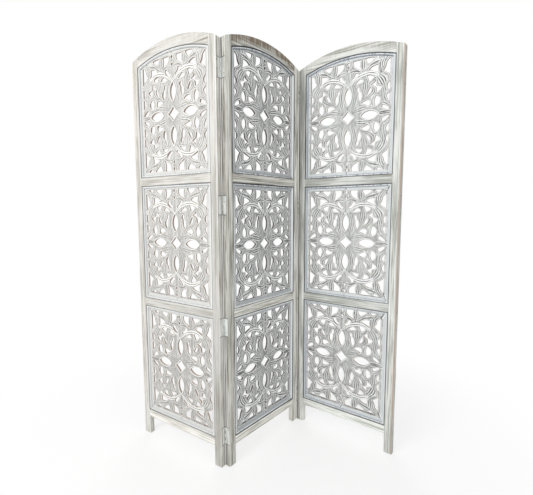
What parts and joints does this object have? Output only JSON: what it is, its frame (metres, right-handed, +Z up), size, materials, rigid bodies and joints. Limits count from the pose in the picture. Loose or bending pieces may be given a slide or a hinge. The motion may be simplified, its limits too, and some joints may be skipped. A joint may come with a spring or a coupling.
{
  "type": "folding screen",
  "caption": "Free-standing folding jali screen: hinged arched leaves of whitewashed timber, each framing pierced, carved foliate panels. Stands in a zigzag and folds flat.",
  "frame": {"origin": "on the floor, in the middle of the footprint of the standing screen", "axes": "+X from the free end of the left leaf to the free end of the right leaf, +Y to the back, +Z up"},
  "size_m": [1.1809, 0.4398, 1.8],
  "materials": {
    "frame_wood": "brushed lime wash over brown timber, rubbed through to the grain",
    "carved_board": "carved board in chalky grey-white wash, darker in the cuts",
    "bead_wood": "lime wash, rubbed white along the crown",
    "hinge_metal": "steel butt hinge washed over with the frame, worn at the edges",
    "pin_metal": "dull steel",
    "screw_metal": "steel wood screw, washed over, dull"
  },
  "bodies": {
    "middle_leaf": {"middle_leaf_left_stile": "frame_wood", "middle_leaf_right_stile": "frame_wood", "middle_leaf_top_rail": "frame_wood", "middle_leaf_upper_rail": "frame_wood", "middle_leaf_lower_rail": "frame_wood", "middle_leaf_bottom_rail": "frame_wood", "middle_leaf_top_panel": "carved_board", "middle_leaf_middle_panel": "carved_board", "middle_leaf_bottom_panel": "carved_board", "middle_leaf_top_beads": "bead_wood", "middle_leaf_middle_beads": "bead_wood", "middle_leaf_bottom_beads": "bead_wood", "left_fold_middle_hinge_plates": "hinge_metal", "left_fold_middle_screws": "screw_metal", "left_fold_hinge_pins": "pin_metal", "right_fold_middle_hinge_plates": "hinge_metal", "right_fold_middle_screws": "screw_metal", "right_fold_hinge_pins": "pin_metal"},
    "left_leaf": {"left_leaf_left_stile": "frame_wood", "left_leaf_right_stile": "frame_wood", "left_leaf_top_rail": "frame_wood", "left_leaf_upper_rail": "frame_wood", "left_leaf_lower_rail": "frame_wood", "left_leaf_bottom_rail": "frame_wood", "left_leaf_top_panel": "carved_board", "left_leaf_middle_panel": "carved_board", "left_leaf_bottom_panel": "carved_board", "left_leaf_top_beads": "bead_wood", "left_leaf_middle_beads": "bead_wood", "left_leaf_bottom_beads": "bead_wood", "left_fold_left_hinge_plates": "hinge_metal", "left_fold_left_screws": "screw_metal"},
    "right_leaf": {"right_leaf_left_stile": "frame_wood", "right_leaf_right_stile": "frame_wood", "right_leaf_top_rail": "frame_wood", "right_leaf_upper_rail": "frame_wood", "right_leaf_lower_rail": "frame_wood", "right_leaf_bottom_rail": "frame_wood", "right_leaf_top_panel": "carved_board", "right_leaf_middle_panel": "carved_board", "right_leaf_bottom_panel": "carved_board", "right_leaf_top_beads": "bead_wood", "right_leaf_middle_beads": "bead_wood", "right_leaf_bottom_beads": "bead_wood", "right_fold_right_hinge_plates": "hinge_metal", "right_fold_right_screws": "screw_metal"}
  },
  "joints": [
    {"name": "left_fold", "type": "hinge", "parent": "middle_leaf", "child": "left_leaf", "pos_m": [-0.137, -0.19704, 0], "axis": [0, 0, 1], "range_deg": [-98.7, 81.3]},
    {"name": "right_fold", "type": "hinge", "parent": "middle_leaf", "child": "right_leaf", "pos_m": [0.14707, 0.19765, 0], "axis": [0, 0, 1], "range_deg": [-95.6, 84.4]}
  ]
}
